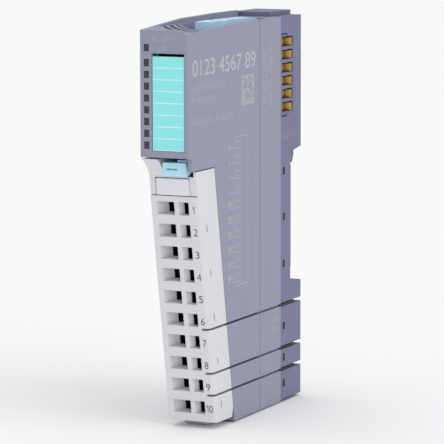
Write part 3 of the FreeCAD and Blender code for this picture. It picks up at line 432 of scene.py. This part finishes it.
def boardMaterial():
    # solder resist with faint copper tracks under it
    made, tree, shader = newMaterial("board_green")
    place = addNode(tree, "ShaderNodeTexCoord")
    tracks = addNode(tree, "ShaderNodeTexBrick")
    tracks.inputs["Scale"].default_value = boardLook["trackScale"]
    tracks.inputs["Color1"].default_value = (*boardLook["resist"], 1)
    tracks.inputs["Color2"].default_value = (*boardLook["pale"], 1)
    tracks.inputs["Mortar"].default_value = (*boardLook["track"], 1)
    tracks.inputs["Mortar Size"].default_value = boardLook["trackWidth"]
    turn = addNode(tree, "ShaderNodeMapping")
    turn.inputs["Rotation"].default_value = (0, math.radians(boardLook["turn"]), 0)
    link(tree, place.outputs["Object"], turn.inputs["Vector"])
    link(tree, turn.outputs["Vector"], tracks.inputs["Vector"])
    link(tree, tracks.outputs["Color"], shader.inputs["Base Color"])
    rough = maths(tree, "MULTIPLY", tracks.outputs["Fac"], boardLook["roughSpread"])
    link(tree, maths(tree, "ADD", rough, boardLook["rough"]), shader.inputs["Roughness"])
    bump = addNode(tree, "ShaderNodeBump")
    bump.inputs["Strength"].default_value = boardLook["bump"]
    bump.inputs["Distance"].default_value = boardLook["bumpDepth"]
    link(tree, tracks.outputs["Fac"], bump.inputs["Height"])
    link(tree, bump.outputs["Normal"], shader.inputs["Normal"])
    return made


inks = {"paleInk": (0.50, 0.50, 0.53), "softInk": (0.42, 0.42, 0.44), "baseInk": (0.33, 0.33, 0.36),
        "darkInk": (0.10, 0.10, 0.12)}


inkLook = {"grainSize": 6000.0, "toneSize": 1500.0, "toneShift": 0.35, "rough": 0.5}


def inkMaterial(name, colour):
    # pad-printed ink, thin and slightly uneven
    made, tree, shader = newMaterial(name)
    grain = placeGroup(tree, grainGroup, **{
        "Base": (*colour, 1), "Grain Size": inkLook["grainSize"],
        "Tone Size": inkLook["toneSize"], "Tone Shift": inkLook["toneShift"]})
    link(tree, grain.outputs["Color"], shader.inputs["Base Color"])
    rough = maths(tree, "ADD", grain.outputs["Roughness Shift"], inkLook["rough"])
    link(tree, rough, shader.inputs["Roughness"])
    return made


materials = {name: plasticMaterial(name, look) for name, look in plastics.items()}
materials.update({name: metalMaterial(name, look) for name, look in metals.items()})
materials["label"] = cardMaterial()
materials["window"] = windowMaterial()
materials["board_green"] = boardMaterial()
materials.update({name: inkMaterial(name, colour) for name, colour in inks.items()})
for name, change in ownPlastics.items():
    materials[name] = plasticMaterial(name, {**plastics[change["like"]], **change})
slotOf = {part["node"]: part["material_slot"] for part in record["subparts"]}
for name, thing in nodes.items():
    thing.data.materials.clear()
    thing.data.materials.append(materials.get(name) or materials[slotOf[name]])
print("materials set on", len(nodes), "nodes")


inkLift = {"first": 0.00001, "step": 0.000001, "steps": 7}


class InkSheet:
    # collects flat shapes on one face, each a hair above the last so that none lie in one plane
    def __init__(self, origin, across, up):
        self.origin, self.across, self.up = Vector(origin), Vector(across), Vector(up)
        self.out = self.across.cross(self.up)
        self.mesh = bmesh.new()
        self.count = 0

    def shape(self, points):
        self.count += 1
        lift = inkLift["first"] + inkLift["step"] * (self.count % inkLift["steps"])
        spots = [self.origin + self.across * a * mm + self.up * b * mm + self.out * lift for a, b in points]
        self.mesh.faces.new([self.mesh.verts.new(spot) for spot in spots])

    def bar(self, a0, b0, a1, b1):
        self.shape([(a0, b0), (a1, b0), (a1, b1), (a0, b1)])

    def stroke(self, start, end, width):
        along = (Vector(end) - Vector(start)).normalized() * width / 2
        side = Vector((-along.y, along.x))
        first, last = Vector(start) - along, Vector(end) + along
        self.shape([tuple(first - side), tuple(last - side), tuple(last + side), tuple(first + side)])

    def figures(self, text, left, foot, wide, tall):
        # plain built-in type, fitted to a box; the whole run shares one lift
        curve = bpy.data.curves.new("figures", "FONT")
        curve.body = text
        holder = bpy.data.objects.new("figures", curve)
        flat = bpy.data.meshes.new_from_object(holder)
        xs = [vertex.co.x for vertex in flat.vertices]
        ys = [vertex.co.y for vertex in flat.vertices]
        acrossScale, upScale = wide / (max(xs) - min(xs)), tall / (max(ys) - min(ys))
        for face in flat.polygons:
            corners = [flat.vertices[index].co for index in face.vertices]
            self.shape([(left + (corner.x - min(xs)) * acrossScale, foot + (corner.y - min(ys)) * upScale)
                        for corner in corners])
            self.count -= 1
        self.count += 1
        bpy.data.objects.remove(holder)
        bpy.data.curves.remove(curve)
        bpy.data.meshes.remove(flat)

    def finish(self, name, material, body):
        data = bpy.data.meshes.new(name)
        self.mesh.to_mesh(data)
        self.mesh.free()
        made = bpy.data.objects.new(name, data)
        bpy.context.scene.collection.objects.link(made)
        data.materials.append(material)
        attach(made, body)
        return made


# widths, stem and gap in mm; blank is the share of places left empty, the rest are parts of the height
wordLook = {"widths": (0.45, 0.6, 0.8), "blank": 0.12, "heights": (0.75, 1, 1), "stem": 0.2,
            "barFeet": (0, 0.42, 0.84), "barTall": 0.16, "gap": 0.25}


def wordBars(ink, left, right, foot, tall, upright=False):
    # rows of small strokes that stand for lines of very small print
    at = left
    while at < right:
        wide = random.choice(wordLook["widths"])
        if random.random() > wordLook["blank"]:
            high = tall * random.choice(wordLook["heights"])
            barFoot = high * random.choice(wordLook["barFeet"])
            barTop = barFoot + high * wordLook["barTall"]
            for b0, a1, b1 in ((0, wordLook["stem"], high), (barFoot, wide, barTop)):
                if upright:
                    ink.bar(foot + b0, at, foot + b1, at + a1)
                else:
                    ink.bar(at, foot + b0, at + a1, foot + b1)
        at += wide + wordLook["gap"]


sidePlace = {"origin": (0.007, 0, 0), "across": (0, 1, 0), "up": (0, 0, 1)}
frontPlace = {"origin": (0, -0.066, 0), "across": (1, 0, 0), "up": (0, 0, 1)}
titleMark = {"text": "0123 4567 89", "left": -63.4, "foot": 43.4, "wide": 39.6, "tall": 4.3}
codeMark = {"left": -32.8, "foot": 33.6, "wide": 8.0, "cells": 13, "filled": 0.55,
            "seed": 4}
# each line of print is its left end, right end, foot and height in mm
textLines = ((-63.6, -43.0, 39.5, 1.9), (-63.6, -47.5, 36.6, 1.5), (-63.7, -38.5, 30.6, 1.9))


def printCover():
    title = InkSheet(**sidePlace)
    title.figures(*titleMark.values())
    title.finish("coverFigures", materials["paleInk"], "electronics")
    ink = InkSheet(**sidePlace)
    random.seed(codeMark["seed"])
    for textLine in textLines:
        wordBars(ink, *textLine)
    squareCode(ink)
    ink.finish("coverPrint", materials["softInk"], "electronics")
    wiringDiagram()


def squareCode(ink):
    # a frame filled with cells at random, which reads as nothing
    cells = codeMark["cells"]
    size = codeMark["wide"] / cells
    for row in range(cells):
        for column in range(cells):
            border = row in (0, cells - 1) or column in (0, cells - 1)
            if border or random.random() < codeMark["filled"]:
                left, foot = codeMark["left"] + column * size, codeMark["foot"] + row * size
                ink.bar(left, foot, left + size, foot + size)


diagram = {"spine": -37.0, "edge": -28.8, "top": 25.4, "foot": -14.9, "line": 0.26, "pitch": 4.02,
           "first": 24.2, "boxLeft": -35.9, "boxRight": -33.8, "boxTall": 2.0, "rows": 10,
           "lead": 3.2, "leadUp": 0.3,
           "post": (-4.0, 0.1, -3.5, 1.6), "coil": (-4.6, 1.0, -4.0, 2.2), "coilPitch": 1.1, "coils": 3,
           "coilFrom": 4}


def wiringDiagram():
    ink = InkSheet(**sidePlace)
    spine, edge, top, foot, line = (diagram[key] for key in ("spine", "edge", "top", "foot", "line"))
    ink.stroke((spine, top), (spine, foot), line)
    ink.stroke((edge, top), (edge, foot), line)
    ink.stroke((spine, top), (edge, top), line)
    ink.stroke((spine, foot), (edge, foot), line)
    left, right = diagram["boxLeft"], diagram["boxRight"]
    for step in range(diagram["rows"]):
        high = diagram["first"] - step * diagram["pitch"]
        low = high - diagram["boxTall"]
        for start, end in (((left, high), (right, high)), ((right, high), (right, low)),
                           ((right, low), (left, low)), ((left, low), (left, high))):
            ink.stroke(start, end, line)
        leadAt = low + diagram["leadUp"]
        ink.stroke((spine - diagram["lead"], leadAt), (spine, leadAt), line)
        a0, b0, a1, b1 = diagram["post"]
        ink.bar(spine + a0, low + b0, spine + a1, low + b1)
        if step >= diagram["coilFrom"]:
            a0, b0, a1, b1 = diagram["coil"]
            for column in range(diagram["coils"]):
                along = spine + column * diagram["coilPitch"]
                ink.bar(along + a0, low + b0, along + a1, low + b1)
    ink.finish("coverDiagram", materials["softInk"], "electronics")


collarMark = {"seed": 9, "upright": ((33, 48, -18.6, 0.9), (33, 48, -16.7, 0.9), (32, 48.6, -14.2, 1.9)),
              "level": ((-13, -9, -31.6, 1.7), (-13, -9, -28.4, 1.7))}


def printCollar():
    ink = InkSheet(**sidePlace)
    random.seed(collarMark["seed"])
    for textLine in collarMark["upright"]:
        wordBars(ink, *textLine, upright=True)
    for textLine in collarMark["level"]:
        wordBars(ink, *textLine)
    ink.finish("collarPrint", materials["softInk"], "electronics")


frontMark = {"seed": 21, "level": ((-3.4, 3.4, 52.6, 1.5), (-2.4, 0.8, 50.2, 1.3))}


def printFront():
    ink = InkSheet(**frontPlace)
    random.seed(frontMark["seed"])
    for textLine in frontMark["level"]:
        wordBars(ink, *textLine)
    ink.finish("frontPrint", materials["softInk"], "electronics")


baseMark = {"seed": 12, "upright": ((31, 46, 3.4, 1.0),),
            "level": ((-6.2, -2.6, 21.8, 1.7), (-1.2, 4.4, 22.2, 1.7))}


def printBase():
    ink = InkSheet(**sidePlace)
    random.seed(baseMark["seed"])
    for textLine in baseMark["upright"]:
        wordBars(ink, *textLine, upright=True)
    for textLine in baseMark["level"]:
        wordBars(ink, *textLine)
    ink.finish("basePrint", materials["baseInk"], "base")


printCover()
printCollar()
printFront()
printBase()


# the 1 in rows 1 and 10 is drawn with strokes, the other figures with the built-in type
rowNumber = {"left": 4.75, "wide": 1.15, "tall": 2.0, "below": 3.0, "oneLeft": 5.4, "tenLeft": 4.75,
             "tenShift": 0.3, "margin": 0.1, "stem": 0.2, "flag": (-0.4, -0.45), "flagWidth": 0.16}


def printConnector():
    tilt = math.radians(connectorFrame["tilt"])
    origin = Vector((0, connectorFrame["y"] * mm, connectorFrame["z"] * mm))
    ink = InkSheet(origin, (1, 0, 0), (0, -math.sin(tilt), math.cos(tilt)))
    lastRow = connectorFrame["rows"] - 1
    for row in range(connectorFrame["rows"]):
        foot = connectorFrame["rowFirst"] - row * connectorFrame["pitch"] - rowNumber["below"]
        left, wide = rowNumber["left"], rowNumber["wide"]
        if row in (0, lastRow):
            one = rowNumber["oneLeft"] if row == 0 else rowNumber["tenLeft"]
            top = foot + rowNumber["tall"] - rowNumber["margin"]
            ink.stroke((one, foot + rowNumber["margin"]), (one, top), rowNumber["stem"])
            back, down = rowNumber["flag"]
            ink.stroke((one + back, top + down), (one, top), rowNumber["flagWidth"])
        if row == lastRow:
            left = rowNumber["tenLeft"] + rowNumber["tenShift"]
        if row > 0:
            ink.figures(str(row + 1)[-1], left, foot, wide, rowNumber["tall"])
    ink.finish("rowNumbers", materials["darkInk"], "connector")


printConnector()
print("printed marks made")


studio = {"floorSize": 24.0, "floorColour": (0.92, 0.92, 0.92), "floorRough": 0.9, "floorShine": 0.1,
          "worldStrength": 0.56}


def pieceFloor():
    data = bpy.data.meshes.new("floor")
    half = studio["floorSize"] / 2
    z = float(cadBounds[0][2])
    corners = [(-half, -half, z), (half, -half, z), (half, half, z), (-half, half, z)]
    data.from_pydata(corners, [], [(0, 1, 2, 3)])
    floor = bpy.data.objects.new("floor", data)
    bpy.context.scene.collection.objects.link(floor)
    made, _, shader = newMaterial("floorPaint")
    shader.inputs["Base Color"].default_value = (*studio["floorColour"], 1)
    shader.inputs["Roughness"].default_value = studio["floorRough"]
    shader.inputs["Specular IOR Level"].default_value = studio["floorShine"]
    data.materials.append(made)


# wide soft sources, each given by the way towards it, its strength and its angular size
lights = {
    "key": {"towards": (0.74, -0.18, 0.62), "power": 0.72, "spread": 50},
    "front": {"towards": (-0.10, -0.90, 0.25), "power": 0.26, "spread": 60},
    "top": {"towards": (-0.1, 0.12, 1.0), "power": 1.0, "spread": 75},
}


def addLights():
    world = bpy.data.worlds.new("studioWorld")
    bpy.context.scene.world = world
    world.use_nodes = True
    world.node_tree.nodes["Background"].inputs["Color"].default_value = (1, 1, 1, 1)
    world.node_tree.nodes["Background"].inputs["Strength"].default_value = studio["worldStrength"]
    for name, look in lights.items():
        data = bpy.data.lights.new(name, "SUN")
        data.energy = look["power"]
        data.angle = math.radians(look["spread"])
        lamp = bpy.data.objects.new(name, data)
        lamp.rotation_euler = Vector(look["towards"]).to_track_quat("Z", "Y").to_euler()
        bpy.context.scene.collection.objects.link(lamp)


cameraLook = {"azimuth": 25.031, "elevation": 7.385, "roll": -0.112, "distance": 0.81089, "lens": 241.82,
              "target": (0.0, -0.031, 0.0), "across": 0.000218, "up": 0.001371, "sensor": 36,
              "clip": (0.01, 50)}


def addCamera():
    azimuth, elevation = math.radians(cameraLook["azimuth"]), math.radians(cameraLook["elevation"])
    back = Vector((math.sin(azimuth) * math.cos(elevation), -math.cos(azimuth) * math.cos(elevation),
                   math.sin(elevation)))
    right = Vector((math.cos(azimuth), math.sin(azimuth), 0))
    up = back.cross(right)
    roll = math.radians(cameraLook["roll"])
    rolledRight = right * math.cos(roll) + up * math.sin(roll)
    rolledUp = up * math.cos(roll) - right * math.sin(roll)
    data = bpy.data.cameras.new("camera")
    data.sensor_width = cameraLook["sensor"]
    data.lens = cameraLook["lens"]
    data.clip_start, data.clip_end = cameraLook["clip"]
    eye = bpy.data.objects.new("camera", data)
    place = Vector(cameraLook["target"]) + rolledRight * cameraLook["across"] + rolledUp * cameraLook["up"]
    place += back * cameraLook["distance"]
    turn = Matrix((rolledRight, rolledUp, back)).transposed().to_4x4()
    eye.matrix_world = Matrix.Translation(place) @ turn
    bpy.context.scene.collection.objects.link(eye)
    bpy.context.scene.camera = eye


pieceFloor()
addLights()
addCamera()
bpy.context.scene.view_settings.view_transform = "Standard"
print("studio ready")
